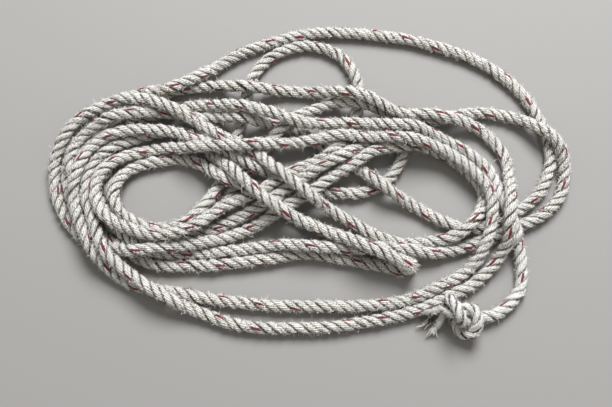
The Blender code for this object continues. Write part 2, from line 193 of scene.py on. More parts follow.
# The knot's tail, unlaid: each strand from root to tip, as x, y, z and radius, measured from the
# middle of the rope's end
STRANDS = (
    ((6, 1, 0, 3.4), (0, -1, 0, 4.8), (-5, -2, -1, 5.2), (-10, -2, -3, 4.2)),
    ((8, -2, -1, 3.0), (4, -6, -6, 3.3), (-2, -10, -11, 3.0), (-9, -14, -14, 2.0)),
    ((9, -3, 0, 3.0), (7, -9, -5, 3.1), (3, -16, -11, 2.8), (-3, -22, -14, 1.9)),
)
STRAND_FLAT = 0.8  # thickness of a loose strand against its width

# The right-handed lay, the length in which a strand goes once round, which has opened and closed
# in use: distance, and the lay there
LAYS = (
    (0, 30), (1200, 31), (1800, 31), (2700, 29), (3300, 28), (3900, 34), (4200, 30), (4550, 34),
    (5300, 32), (5800, 30), (6400, 28), (6540, 32), (6700, 30), (7400, 32), (7950, 36), (8400, 30),
    (8540, 34), (9000, 33),
)
LAY_SAMPLES = 4000  # places where it is added up
YARN_LAY = 0.56  # of the lay, for a yarn to go once round its strand, the other way

# The strands
HELIX_RADIUS = 3.1  # of a strand's centre line round the rope's
STRAND_DEPTH, STRAND_WIDTH = 2.9, 3.3  # half a strand's size out from the middle, and round it
FIRST_ANGLE = -1.44  # radians, of the first strand at the tail end
LAID_FROM, UNTWISTED = 24.0, 10.0  # where the strands are laid, and the stretch that parts them
LED_IN = (13, 16, 20)  # where a loose strand is led into its laid place
PARTED = 13.0  # nearer than this, the strands lie clear of each other
TIP, TIP_START = 3.0, 0.3  # a loose tip's rounding, and how far along it the mesh starts
DOME, DOME_START = 3.6, 0.02  # the plain end's rounding, and the share of it left off
DOME_HELIX, DOME_STRAND = 0.3, 0.2  # of the helix's and the strand's size, left at its tip
CLEAN_TO, CLEAN_FADE = 380.0, 60.0  # where the cleaner rope ends, and the stretch that it fades in
END_FRAY = 20.0  # the frayed stretch next to the plain end

# Slow random changes along a strand: the stretch that each goes on for, and its size
ANGLE_WANDER = 45, 0.12  # of its place round the rope, in radians
SIZE_WANDER = 25, 0.06  # of its size, as a share
YARN_WANDER = 150, 0.08  # of its yarns, in turns round it

# A strand's mesh
RING_STEP = 2.1  # between two rings
RING_SIDES = 20
CROWDING = 0.25  # radians by which the sides crowd to the crown, which is at angle 0
LUMPS = 0.3  # size of the random lumps
STRAND_RISE, FIBRE_RISE = 0.05, 0.1  # least height of a strand and a fibre over the floor
UNDER_FROM, UNDER_OVER = 0.4, 1.2  # of the normal's z: where the underside's painted shade starts, and its span
TIP_UNDERSIDE = 0.3

# The yarns in a strand
YARNS = 9
YARN_SIDES, SNAG_SIDES = 7, 5  # of a loose one's mesh
FIBRE_RELIEF, YARN_RELIEF = 0.1, 0.3  # depth of the bumps on loose ones
UNEVEN = 0.7  # of a yarn, the most that they wander sideways
TRACER_YARN, TRACER_WIDTH = 1.5, 1.25  # the dyed yarn's middle and width, in yarns

# Rust and earth marks: x, y, reach and strength
STAIN_EDGE = 1.3  # of the reach, where a mark ends
STAINS = (
    (-151, 86, 15, 0.35), (-204, 32, 11, 0.3), (204, -70, 11, 0.35), (-44, 14, 10, 0.25),
    (-121, 70, 12, 0.2), (149, 20, 14, 0.2), (-61, -52, 16, 0.2), (59, 95, 13, 0.2),
)

# Raised fibres: least and greatest length, points, how far they lean out, and their curl
FIBRES, FIBRE_TAPER = ((1.5, 4.5), 3, 0.7, 0.35), (1.0, 0.9, 0.0)
HAIRS, HAIR_TAPER = ((4.0, 9.0), 6, 0.8, 0.22), (1.0, 1.0, 0.9, 0.8, 0.7, 0.0)
SNAGS, SNAG_RADII = ((3.0, 7.0), 6, 0.35, 0.2), (0.35, 0.4, 0.38, 0.32, 0.22, 0.08)
ROOT_SPREAD, ROOT_DEPTH = 0.9, 0.2  # of the roots: radians round the crown, and below the surface
SCATTER, WOBBLE = 0.45, 0.3  # of their directions, and of their curl
FACING_SCATTER = 0.5  # of the way that ribbons face, round straight up
DYED, DYED_REACH = 2.0, 1.0  # tone of a dyed fibre, and how far from the crown one grows
LOW_FROM, LOW_SHADE = 0.5, 0.6  # the normal's z below which fibres are painted darker, as shade, and by how much
MORE_AT_ENDS = 0.012  # share of the fibres that stand on the two ends
TAIL_RINGS, END_RINGS = 18, 8  # the rings that these cover

# The plain end's stubs, on its face and round its last stretch
END_STUBS, SIDE_STUBS = 110, 130
GOLDEN_ANGLE = 2.39996
END_RADIUS, FACE_CURVE = 6.2, 0.96  # the face's radius, and how far it rounds off
SIDE_REACH = (2.0, 16.0)  # from the end
STUB_POINTS = (-3.2, -1.6, -0.5, 0.0)  # from its tip
STUB_RADII, STUB_SIZES = (0.55, 0.75, 0.75, 0.4), (0.8, 1.15)
STUB_PROUD, STUB_SUNK = (0.1, 0.8), 0.3  # how far it stands out, and how deep a side one starts
FACE_SPLAY, FACE_SCATTER = 0.9, 0.15
SIDE_ALONG, SIDE_SPLAY, SIDE_SCATTER = 0.9, 0.5, 0.25

# The loose yarns of each strand at the tail
TAIL_YARNS = 9
TAIL_RADII, TAIL_SIZES = (0.8, 0.85, 0.8, 0.7, 0.5, 0.2), (0.75, 1.05)
TAIL_ROOTS = (2, 5)  # the rings that they start from
TAIL_RING, YARN_OUT = 4, 0.6  # the ring that spreads them, and the share of it that they use
TAIL_STEPS, SHORTER = (1.1, 2.3), 0.6  # between points, and how much shorter in the first strand
TAIL_TURN, TAIL_SPLAY, TAIL_SCATTER, TAIL_BEND, TAIL_DROOP = 0.3, 0.12, 0.12, 0.16, 0.12
STEEP = 0.8  # a direction's z above which a tube's sideways ones start from x

# Seeds of all that is random; a strand's number is added to the first four
ANGLE_SEED, SIZE_SEED, LUMP_SEED, YARN_SEED = 10, 20, 30, 40
FIBRE_SEED, END_SEED, TAIL_SEED, SNAG_SEED, FACING_SEED = 1, 3, 4, 5, 77

# Patterns. Real fibre is about 0.03 mm thick and in tufts under 1 mm, too fine to show, so that
# fibres, streaks and tufts are drawn as coarse as they need to.
STRAND_ROUND = 20.0
STREAK, BAND = (0.35, 4), (1.3, 7)  # width and length of a bleached streak and a greyed band
TUFTS, BLOTCHES, PATCHES = 520.0, 90.0, 28.0  # to a metre: 2, 11 and 36 mm across
NOISE = {"Detail": 3.0, "Roughness": 0.65}
SPUN = {"Roughness": 0.95, "Specular IOR Level": 0.2}  # spun staple fibre has no gloss

# The stage, in metres and radians
FLOOR_SIDE = 4.0
SKY_COLOUR = (1.0, 0.96, 0.88, 1.0)
LAMP_COLOUR = (1.0, 1.0, 0.99)
LAMP_PLACE = (0.35, 1.35, 1.7)
LAMP_SIZE = 1.2
LENS = 44.7  # in millimetres, for a film 36 mm wide
CAMERA_PLACE = (-0.0031, -0.2172, 0.7358)
CAMERA_TILT = 0.2531


def measured(points, power=1):
    """How far along each point is, by the steps' lengths or a power of them."""
    return np.append(0, np.cumsum(np.linalg.norm(np.diff(points, axis=0), axis=1) ** power))


def turned_to(angle, side, up):
    """Directions at these angles from one sideways direction to the other."""
    return np.cos(angle)[..., None] * side + np.sin(angle)[..., None] * up


def smooth_line(points, spacing):
    """Evenly spaced points along a centripetal Catmull-Rom curve through the given ones."""
    points = np.asarray(points, float)
    ends = 2 * points[0] - points[1], 2 * points[-1] - points[-2]
    points = np.vstack([ends[0], points, ends[1]])
    knots = measured(points, 0.5)
    fine = []
    for k in range(1, len(points) - 2):
        t0, t1, t2, t3 = knots[k - 1 : k + 3]
        t = np.linspace(t1, t2, CURVE_STEPS, endpoint=False)[:, None]
        a1 = ((t1 - t) * points[k - 1] + (t - t0) * points[k]) / (t1 - t0)
        a2 = ((t2 - t) * points[k] + (t - t1) * points[k + 1]) / (t2 - t1)
        a3 = ((t3 - t) * points[k + 1] + (t - t2) * points[k + 2]) / (t3 - t2)
        b1 = ((t2 - t) * a1 + (t - t0) * a2) / (t2 - t0)
        b2 = ((t3 - t) * a2 + (t - t1) * a3) / (t3 - t1)
        fine.append(((t2 - t) * b1 + (t - t1) * b2) / (t2 - t1))
    fine = np.vstack(fine + [points[-2:-1]])
    along = measured(fine)
    places = np.linspace(0, along[-1], round(along[-1] / spacing) + 1)
    return np.column_stack([np.interp(places, along, fine[:, axis]) for axis in range(3)])


def steps_near(line, reach):
    """Pairs of steps whose middles are within reach, and which can touch."""
    middles = (line[:-1] + line[1:]) / 2
    found = []
    for first in range(0, len(middles), AT_ONCE):
        gaps = np.linalg.norm(middles[first : first + AT_ONCE, None] - middles[None], axis=2)
        one, other = np.nonzero(gaps < reach)
        found.append(np.stack([one + first, other]))
    one, other = np.concatenate(found, axis=1)
    keep = other - one >= APART
    return one[keep], other[keep]


def nearest(line, one, other):
    """Where along each step of a pair the two come nearest, and the vector between them there."""
    start, end = line[one], line[other]
    along, across = line[one + 1] - start, line[other + 1] - end
    between = start - end
    aa, ab, bb = (along**2).sum(1), (along * across).sum(1), (across**2).sum(1)
    ag, bg = (along * between).sum(1), (across * between).sum(1)
    s = np.clip((ab * bg - bb * ag) / np.maximum(aa * bb - ab**2, 1e-9 * aa * bb), 0, 1)
    t = np.clip((ab * s + bg) / bb, 0, 1)
    s = np.clip((ab * t - ag) / aa, 0, 1)
    return s, t, between + s[:, None] * along - t[:, None] * across


def part_touching(line, one, other, reach):
    """Moves each pair of steps that lie too close apart, half the way each."""
    s, t, gap = nearest(line, one, other)
    distance = np.linalg.norm(gap, axis=1)
    close = distance < reach
    one, other, s, t = one[close], other[close], s[close, None], t[close, None]
    push = gap[close] * ((reach[close] / np.maximum(distance[close], 0.001) - 1) / 2)[:, None]
    move, share = np.zeros_like(line), np.zeros((len(line), 1))
    ends = (one, 1 - s, 1), (one + 1, s, 1), (other, 1 - t, -1), (other + 1, t, -1)
    for node, weight, sign in ends:
        np.add.at(move, node, sign * weight * push)
        np.add.at(share, node, weight)
    line += OVERSHOOT * move / np.maximum(share, 1)


def smoothing(stiffness):
    """The matrix that spreads a point's move along the rope as its stiffness does."""
    bending = np.eye(len(stiffness))
    inner = np.arange(1, len(stiffness) - 1)
    bend = (-1, 1), (0, -2), (1, 1)
    for row, share in bend:
        for column, other_share in bend:
            bending[inner + row, inner + column] += stiffness[inner] * share * other_share
    return np.linalg.inv(bending)


def settle(line, hold):
    """The line after it has sunk on to the floor and itself, as a stiff rope does."""
    home, line = line.copy(), line.copy()
    knotted = hold == KNOTTED
    stiff = smoothing(np.where(knotted, KNOT_STIFFNESS, STIFFNESS))
    easy = smoothing(np.where(knotted, CALM_KNOT_STIFFNESS, CALM_STIFFNESS))
    for turn in range(ROUNDS + CALM_ROUNDS):
        calm = turn >= ROUNDS
        if turn % RECHECK == 0:
            one, other = steps_near(line, TOUCHING + 2 * NODE_SPACING)
            reach = TOUCHING * np.where(knotted[one] & knotted[other], KNOT_SQUEEZE, 1.0)
        smooth = easy if calm else stiff
        pull = hold[:, None] / (CALM_EASE if calm else 1)
        line[:, 2] = smooth @ (line[:, 2] - (0 if calm else SINK) * ~knotted)
        line[knotted, 2] += (home[knotted, 2] - line[knotted, 2]) * KNOTTED
        line[:, :2] = home[:, :2] + smooth @ ((line - home)[:, :2] * (1 - pull))
        for _ in range(CALM_PUSHES if calm else PUSHES):
            part_touching(line, one, other, reach)
            line[:, 2] = np.maximum(line[:, 2], ROPE_DIAMETER / 2)
    return line


@functools.cache
def settled_line():
    """The rope's centre line in the frame, from the knot's tail to the plain end."""
    rows = []
    for _, hold, turn in ROUTE:
        for x, y, *below in turn:
            rows.append((x, y, ROPE_DIAMETER / 2 + LAYER * sum(below), hold))
    rows = np.array(rows)
    line = smooth_line(rows[:, :3], NODE_SPACING)
    away = np.linalg.norm(line[:, None, :2] - rows[None, :, :2], axis=2)
    return settle(line, rows[np.argmin(away, axis=1), 3]) - (*MIDDLE, 0)


def unit(vectors):
    """The vectors with their lengths made 1."""
    return vectors / np.maximum(np.linalg.norm(vectors, axis=-1, keepdims=True), 1e-9)


def wander(along, period, size, seed):
    """A slow random change along the rope, smooth and the same each time."""
    values = np.random.default_rng(seed).normal(0, size, int(along[-1] / period) + 4)
    knots = np.arange(len(values)) * period + along[0] - period
    return np.interp(along, knots, np.convolve(values, (0.25, 0.5, 0.25), mode="same"))


@functools.cache
def rope_frames():
    """Distances along the rope, and its points, directions and two sideways ones there."""
    points = smooth_line(settled_line(), RING_STEP)
    tangents = unit(np.gradient(points, axis=0))
    side = np.empty_like(points)
    now = np.cross((0, 0, 1), tangents[0])
    for k, tangent in enumerate(tangents):
        now = unit(now - now.dot(tangent) * tangent)
        side[k] = now
    return measured(points), points, tangents, side, np.cross(tangents, side)


def turns_laid(along):
    """How many turns the strands have made by each distance."""
    fine = np.linspace(along[0], along[-1], LAY_SAMPLES)
    turns = np.append(0, np.cumsum(np.diff(fine) / np.interp(fine[1:], *zip(*LAYS))))
    return np.interp(along, fine, turns)


def yarn_turns(spots, number):
    """How many turns a strand's yarns have made in it, the other way from the strands."""
    return turns_laid(spots) / YARN_LAY + wander(spots, *YARN_WANDER, YARN_SEED + number)


def end_sizes(from_end):
    """Near the plain end: how much wider the rope is, and how far its rounding has gone."""
    rounding = np.sqrt(1 - (1 - np.clip(from_end / DOME, DOME_START, 1)) ** 2)
    return np.interp(from_end, *zip(*END_SWELL)), rounding


@functools.cache
def strand_rings(number):
    """A strand's rings: distances along the rope, centres, directions and half sizes."""
    along, points, tangents, side, up = rope_frames()
    swell, rounding = end_sizes(along[-1] - along)
    swell *= np.interp(along, *zip(*KNOT_SWELL))
    angle = FIRST_ANGLE + 2 * np.pi * (turns_laid(along) + number / 3)
    angle += wander(along, *ANGLE_WANDER, ANGLE_SEED + number)
    outward = turned_to(angle, side, up)
    radius = HELIX_RADIUS * swell * (DOME_HELIX + (1 - DOME_HELIX) * rounding)
    centres = points + radius[:, None] * outward
    laid = along > LAID_FROM

    # The loose end, led into the laid strand
    loose = np.array(STRANDS[number])[::-1]
    way = settled_line()[0] + loose[:, :3]
    way[:, 2] = np.maximum(way[:, 2], STRAND_FLAT * loose[:, 3])
    joining = [centres[np.searchsorted(along, place)] for place in LED_IN]
    first = centres[laid][0]
    tail = smooth_line(np.vstack([way, joining, first]), RING_STEP)[:-1]
    steps = np.linalg.norm(np.diff(np.vstack([tail, first]), axis=0), axis=1)
    tail_along = along[laid][0] - np.cumsum(steps[::-1])[::-1]
    spots = np.append(tail_along, along[laid])
    centres = np.vstack([tail, centres[laid]])

    # The outward direction, carried from the laid strand back along the loose end
    heads = unit(np.gradient(centres, axis=0))
    out = np.empty_like(centres)
    out[len(tail):] = outward[laid]
    now = outward[laid][0]
    for k in range(len(tail) - 1, -1, -1):
        now = unit(now - now.dot(heads[k]) * heads[k])
        out[k] = now
    out = unit(out - (out * heads).sum(1, keepdims=True) * heads)

    # Half sizes, which go over from the laid strand's to the loose end's
    fat = 1 + wander(spots, *SIZE_WANDER, SIZE_SEED + number)
    size = np.interp(spots, along, swell * (DOME_STRAND + (1 - DOME_STRAND) * rounding))
    depth, width = STRAND_DEPTH * size * fat, STRAND_WIDTH * size * fat
    share = np.clip((spots - LAID_FROM + UNTWISTED) / UNTWISTED, 0, 1)
    places = np.linspace(0, len(tail), len(loose)) / len(tail)
    loose_radius = np.interp(np.arange(len(spots)) / len(tail), places, loose[:, 3])
    depth = share * depth + (1 - share) * loose_radius * STRAND_FLAT
    width = share * width + (1 - share) * loose_radius
    tip = np.sqrt(1 - (1 - np.clip((spots - spots[0] + TIP_START) / TIP, 0, 1)) ** 2)
    return spots, centres, heads, out, np.cross(heads, out), depth * tip, width * tip


def cord_path():
    """The way from the marked strand's loose tip along the rope to the plain end."""
    line = settled_line()
    spots, centres = strand_rings(0)[:2]
    return np.vstack([centres[spots < PARTED], line[measured(line) > PARTED]])


def surface_at(rings, place, angle, lift):
    """Points so far over a strand's surface at these rings and angles, and its normals there."""
    _, centres, _, out, across, depth, width = rings
    out, across = out[place], across[place]
    cosine, sine, lift = np.cos(angle)[..., None], np.sin(angle)[..., None], lift[..., None]
    deep, wide = depth[place][..., None], width[place][..., None]
    at = centres[place] + (deep + lift) * cosine * out + (wide + lift) * sine * across
    return at, unit(cosine * out * wide + sine * across * deep)


def smooth_noise(shape, size, seed):
    """Random bumps over a strand's rings, joined up smoothly."""
    noise = np.random.default_rng(seed).normal(0, 1, shape)
    for axis in (0, 1):
        noise = (np.roll(noise, 1, axis) + 2 * noise + np.roll(noise, -1, axis)) / 4
    return noise * size / noise.std()


def add_object(name, data, place=(0, 0, 0), turn=(0, 0, 0)):
    """An object in the scene, with its place in metres."""
    obj = bpy.data.objects.new(name, data)
    obj.location, obj.rotation_euler = place, turn
    bpy.context.scene.collection.objects.link(obj)
    return obj


def mesh_object(name, points, faces, material, floats, uv=None):
    """A smooth mesh object from its points, with named values on them."""
    mesh = bpy.data.meshes.new(name)
    mesh.from_pydata((points * MM).tolist(), [], faces)
    mesh.polygons.foreach_set("use_smooth", np.ones(len(faces), bool))
    for key, values in floats.items():
        layer = mesh.attributes.new(key, "FLOAT", "POINT")
        layer.data.foreach_set("value", np.asarray(values, np.float32).ravel())
    if uv is not None:
        layer = mesh.uv_layers.new(name="yarn_map")
        layer.data.foreach_set("uv", uv.astype(np.float32).ravel())
    mesh.materials.append(material)
    mesh.update()
    return add_object(name, mesh)


def near_stains(points):
    """How stained each point is."""
    stained = np.zeros(len(points))
    for x, y, reach, strength in STAINS:
        away = np.linalg.norm(points[:, :2] - (x, y), axis=1)
        stained = np.maximum(stained, strength * np.clip(STAIN_EDGE - away / reach, 0, 1))
    return stained


def tube_quads(rings, sides):
    """The faces between a tube's rings, each as the numbers of its four points."""
    start = np.arange(rings - 1)[:, None] * sides
    one = np.arange(sides)[None]
    after = (one + 1) % sides
    corners = start + one, start + after, start + sides + after, start + sides + one
    return np.stack(corners, -1).reshape(-1, 4)


def strand_mesh(name, number, material):
    """One strand from its loose tip at the knot to the plain end, as one closed tube."""
    rings = strand_rings(number)
    spots = rings[0]
    count = len(spots)
    even = np.linspace(-np.pi, np.pi, RING_SIDES, endpoint=False)
    angles = even - CROWDING * np.sin(even)
    place = np.repeat(np.arange(count)[:, None], RING_SIDES, axis=1)
    angle = np.repeat(angles[None], count, axis=0)
    lumps = smooth_noise((count, RING_SIDES), LUMPS, LUMP_SEED + number)
    points, normals = surface_at(rings, place, angle, lumps)
    points[..., 2] = np.maximum(points[..., 2], STRAND_RISE)
    flat = np.vstack([points.reshape(-1, 3), rings[1][0], rings[1][-1]])

    # Faces between the rings, and from the first and last to the two tips
    low, high, last = len(flat) - 2, len(flat) - 1, (count - 1) * RING_SIDES
    sides = [(one, (one + 1) % RING_SIDES) for one in range(RING_SIDES)]
    caps = [(low, after, one) for one, after in sides]
    caps += [(high, last + one, last + after) for one, after in sides]
    faces = tube_quads(count, RING_SIDES).tolist() + caps

    # A map of the yarns: turns round the strand, and metres along the rope
    turns = angles / (2 * np.pi)
    turns_after = np.append(turns[1:], turns[0] + 1)
    start = yarn_turns(spots, number)[:, None]
    near, far = start[:-1], start[1:]
    corner_u = np.stack([near + turns, near + turns_after, far + turns_after, far + turns], -1)
    corner_v = np.stack([spots[:-1], spots[:-1], spots[1:], spots[1:]], -1)
    corner_v = corner_v[:, None].repeat(RING_SIDES, 1)
    uv = np.stack([corner_u, corner_v * MM], -1).reshape(-1, 2)
    tips = [[start[k, 0], spots[k] * MM] for k in (0, -1)]
    cap_uv = np.repeat(tips, 3 * RING_SIDES, axis=0)

    # What the material reads, each with its values at the two tips
    groove = (np.abs(angle) / np.pi).ravel()
    under = np.clip((UNDER_FROM - normals[..., 2].ravel()) / UNDER_OVER, 0, 1)
    frayed = np.clip(1 - (spots - LAID_FROM + UNTWISTED) / UNTWISTED, 0, 1)
    frayed = np.maximum(frayed, np.clip(1 - (spots[-1] - spots) / END_FRAY, 0, 1))
    clean = np.clip((CLEAN_TO - spots) / CLEAN_FADE, 0, 1)
    floats = {
        "groove": np.append(groove, (0, 0)),
        "underside": np.append(under, (TIP_UNDERSIDE, TIP_UNDERSIDE)),
        "stain": near_stains(flat),
        "frayed": np.append(frayed.repeat(RING_SIDES), (1, 1)),
        "clean": np.append(clean.repeat(RING_SIDES), (1, 0)),
    }
    return mesh_object(name, flat, faces, material, floats, np.vstack([uv, cap_uv]))


def tubes_mesh(name, paths, radii, material, sides, tone):
    """Many short closed tubes as one object, from a row of points and of radii for each."""
    tubes, count = radii.shape
    heads = unit(np.gradient(paths, axis=1))
    steep = np.abs(heads[:, :1, 2:]) > STEEP
    side = unit(np.cross(heads, np.where(steep, (1.0, 0, 0), (0, 0, 1.0))))
    up = np.cross(heads, side)
    angle = 2 * np.pi * np.arange(sides) / sides
    spread = turned_to(angle, side[:, :, None], up[:, :, None])
    points = paths[:, :, None] + radii[..., None, None] * spread
    points[..., 2] = np.maximum(points[..., 2], FIBRE_RISE)
    quads = tube_quads(count, sides)
    first = np.arange(sides)[::-1]
    last = (count - 1) * sides + np.arange(sides)
    faces = []
    for tube in range(tubes):
        start = tube * count * sides
        faces += (quads + start).tolist() + [(first + start).tolist(), (last + start).tolist()]
    tone = {"tone": np.repeat(tone, count * sides)}
    return mesh_object(name, points.reshape(-1, 3), faces, material, tone)


def ribbons_mesh(name, paths, widths, material, tone):
    """Fibres as pointed ribbons that face more or less up."""
    fibres, count = widths.shape
    heads = unit(np.gradient(paths, axis=1))
    rng = np.random.default_rng(FACING_SEED)
    facing = unit((0, 0, 1) + FACING_SCATTER * rng.normal(size=(fibres, 1, 3)))
    side = unit(np.cross(heads, facing))
    left = paths - side * widths[..., None] / 2
    right = paths + side * widths[..., None] / 2
    edges = np.stack([left[:, :-1], right[:, :-1]], 2).reshape(fibres, -1, 3)
    points = np.concatenate([edges, paths[:, -1:]], 1)
    points[..., 2] = np.maximum(points[..., 2], FIBRE_RISE)
    each = points.shape[1]
    base = (np.arange(fibres) * each)[:, None]
    quads = [base + np.array([2 * k, 2 * k + 1, 2 * k + 3, 2 * k + 2]) for k in range(count - 2)]
    tips = base + np.array([each - 3, each - 2, each - 1])
    faces = np.concatenate(quads).tolist() + tips.tolist()
    tone = {"tone": np.repeat(tone, each)}
    return mesh_object(name, points.reshape(-1, 3), faces, material, tone)


def raised_paths(rng, count, strand, lengths, points_each, lean, curl):
    """Fibres' paths and tones: rooted round a strand's crown, leaning along it and curling."""
    rings = strand_rings(strand)
    place = rng.integers(0, len(rings[0]), count)
    at_end = rng.integers(0, TAIL_RINGS + END_RINGS, count) - END_RINGS
    place = np.where(rng.random(count) < MORE_AT_ENDS, at_end % len(rings[0]), place)
    angle = rng.normal(0, ROOT_SPREAD, count)
    root, normal = surface_at(rings, place, angle, np.full(count, -ROOT_DEPTH))
    turned = yarn_turns(rings[0], strand)[place] + angle / (2 * np.pi)
    dyed = np.abs((YARNS * turned + UNEVEN / 2) % YARNS - TRACER_YARN) < TRACER_WIDTH / 2
    dyed &= (strand == 0) & (np.abs(angle) < DYED_REACH)
    way = rng.choice((-1.0, 1.0), count)[:, None]
    stand = lean * rng.random((count, 1)) * 2
    scatter = SCATTER * rng.normal(size=(count, 3))
    head = unit(way * rings[2][place] + stand * normal + scatter)
    steps = (rng.uniform(*lengths, count) / (points_each - 1))[:, None]
    bend = rng.normal(0, curl, (count, 3))
    paths = [root]
    for _ in range(points_each - 1):
        paths.append(paths[-1] + head * steps)
        head = unit(head + bend + WOBBLE * rng.normal(0, curl, (count, 3)))
    # Fibres on the lower sides are painted darker, as shade
    low = np.clip(LOW_FROM - normal[:, 2], 0, 1)
    tone = np.minimum(rng.random(count) + LOW_SHADE * low, 1.0)
    return np.stack(paths, 1), np.where(dyed, DYED, tone)


def raised_on_all(rng, count, kind):
    """The same over the three strands, with a third of the count on each."""
    shares = [raised_paths(rng, count // 3, strand, *kind) for strand in range(3)]
    return [np.concatenate(share) for share in zip(*shares)]


def stubs(rng, tops, heads):
    """Short paths that start in the rope and stand a little proud of these points."""
    proud = rng.uniform(*STUB_PROUD, (len(tops), 1))
    return np.stack([tops + heads * (proud + back) for back in STUB_POINTS], 1)


# Materials


def linear(hex_colour):
    """Linear red, green, blue and alpha of an sRGB hex colour."""
    channels = [int(hex_colour[k : k + 2], 16) / 255 for k in (1, 3, 5)]
    return (*[c / 12.92 if c <= 0.04045 else ((c + 0.055) / 1.055) ** 2.4 for c in channels], 1.0)


def add_node(material, kind, settings=(), links=(), output=0):
    """Adds a shader node with its properties, inputs and links, and gives one of its outputs."""
    node = material.node_tree.nodes.new("ShaderNode" + kind)
    for key, value in dict(settings).items():
        if isinstance(key, str) and key in node.bl_rna.properties:
            setattr(node, key, value)
        else:
            node.inputs[key].default_value = value
    for key, source in dict(links).items():
        material.node_tree.links.new(source, node.inputs[key])
    return node.outputs[output]


def new_material(name, values):
    """A material and its shader, with these values on the shader's own sockets."""
    material = bpy.data.materials.new(name)
    material.use_nodes = True
    shader = material.node_tree.nodes["Principled BSDF"]
    for key, value in values.items():
        shader.inputs[key].default_value = value
    return material, shader


def cover(material, shader, base, layers, bumps):
    """Lays colours over the base colour, and bumps over each other, in turn.

    A layer is the value that it follows, where it starts and ends, its most, and its colour. A
    bump is its height and how many millimetres deep it is.
    """
    colour = normal = None
    for value, start, end, most, tint in layers:
        span = {"From Min": start, "From Max": end, "To Max": most}
        settings = {"data_type": "RGBA", 7: linear(tint)}
        links = {0: add_node(material, "MapRange", span, {"Value": value})}
        if colour is None:
            settings[6] = linear(base)
        else:
            links[6] = colour
        colour = add_node(material, "Mix", settings, links, 2)
    for value, deep in bumps:
        settings = {"Strength": 1.0, "Distance": deep * MM}
        links = {"Height": value, **({} if normal is None else {"Normal": normal})}
        normal = add_node(material, "Bump", settings, links)
    material.node_tree.links.new(colour, shader.inputs["Base Color"])
    material.node_tree.links.new(normal, shader.inputs["Normal"])


def staple_rope(name, finish, tracer):
    """Staple-spun rope strand, laid up and weathered, with painted shade in its grooves, between
    its yarns and on its underside, with or without a dyed yarn.
    """
    # Chalky and hairy to the eye: no gloss, pale rounded yarns about 2.2 mm wide, and dark grooves
    material, shader = new_material(name, {**SPUN, "Sheen Weight": 0.35, "Sheen Roughness": 0.5})
    place = add_node(material, "TexCoord", output="Object")
    yarn_map = add_node(material, "UVMap", {"uv_map": "yarn_map"})
    underside, stain, groove, frayed, clean = (
        add_node(material, "Attribute", {"attribute_name": key}, output="Fac")
        for key in ("underside", "stain", "groove", "frayed", "clean")
    )

    # Spun fibre: streaks and bands along the yarns, tufts, and greyer lengths of rope
    noises = {"tufts": (TUFTS, place), "blotches": (BLOTCHES, place), "patches": (PATCHES, place)}
    for key, (wide, long) in (("streaks", STREAK), ("bands", BAND)):
        settings = {"operation": "MULTIPLY", 1: (STRAND_ROUND / wide, 1000 / long, 0)}
        noises[key] = 1.0, add_node(material, "VectorMath", settings, {0: yarn_map})
    for key, (scale, vector) in noises.items():
        noises[key] = add_node(material, "TexNoise", {"Scale": scale, **NOISE}, {"Vector": vector})
    tufts, streaks, bands = noises["tufts"], noises["streaks"], noises["bands"]

    # Yarns: rounded ridges round the strand, a little uneven
    turn = add_node(material, "SeparateXYZ", (), {0: yarn_map})
    uneven = add_node(material, "Math", {"operation": "MULTIPLY", 1: UNEVEN}, {0: bands})
    counting = {"operation": "MULTIPLY_ADD", 1: float(YARNS)}
    yarn = add_node(material, "Math", counting, {0: turn, 2: uneven})
    ridge = add_node(material, "Math", {"operation": "PINGPONG", 1: 0.5}, {0: yarn})

    # The painted shade of a groove has a ragged edge, and there is less where the strands are
    # frayed apart
    ragged = groove
    for share, value in ((0.5, tufts), (-0.25, frayed)):
        adding = {"operation": "MULTIPLY_ADD", 1: share}
        ragged = add_node(material, "Math", adding, {0: value, 2: ragged})
    blotched = {0: stain, 1: noises["blotches"]}
    stained = add_node(material, "Math", {"operation": "MULTIPLY"}, blotched)
    layers = [
        (noises["patches"], 0.45, 0.7, 0.3, finish.greyed),
        (streaks, 0.35, 0.62, 0.85, finish.bleached),
        (bands, 0.5, 0.7, 0.3, finish.greyed),
        (tufts, 0.575, 0.635, 0.95, finish.dirt_and_shade),
        (frayed, 0.0, 1.0, 0.35, finish.aged_and_warm_shade),
        # Painted warm shade beside the grooves, in the yellowed colour
        (ragged, 0.44, 0.66, 0.55, finish.aged_and_warm_shade),
        # Painted shade where the yarns meet, in the dirt colour
        (ridge, 0.16, 0.03, 0.75, finish.dirt_and_shade),
        (clean, 0.0, 1.0, 0.6, finish.bleached),
        # Painted shade in the grooves between the strands
        (ragged, 0.53, 0.73, 0.95, finish.groove),
        # Painted shade, olive tinted, on the lower and side faces
        (underside, 0.0, 0.6, 0.9, finish.underside_shade),
        (stained, 0.12, 0.5, 1.0, finish.rust),
    ]
    if tracer:
        # The dyed yarn shows round the strand's crown, under the painted shade of the grooves
        counting = {"operation": "FLOORED_MODULO", 1: float(YARNS)}
        counted = add_node(material, "Math", counting, {0: yarn})
        comparing = {"operation": "COMPARE", 1: TRACER_YARN, 2: TRACER_WIDTH / 2}
        dyed = add_node(material, "Math", comparing, {0: counted})
        crown = {"From Min": 0.38, "From Max": 0.31}
        crown = add_node(material, "MapRange", crown, {"Value": groove})
        shown = add_node(material, "Math", {"operation": "MULTIPLY"}, {0: dyed, 1: crown})
        layers.insert(8, (shown, 0.0, 1.0, 0.95, finish.tracer))
    cover(material, shader, finish.fibre, layers, ((ridge, 1.0), (streaks, 0.2), (tufts, 0.5)))
    return material


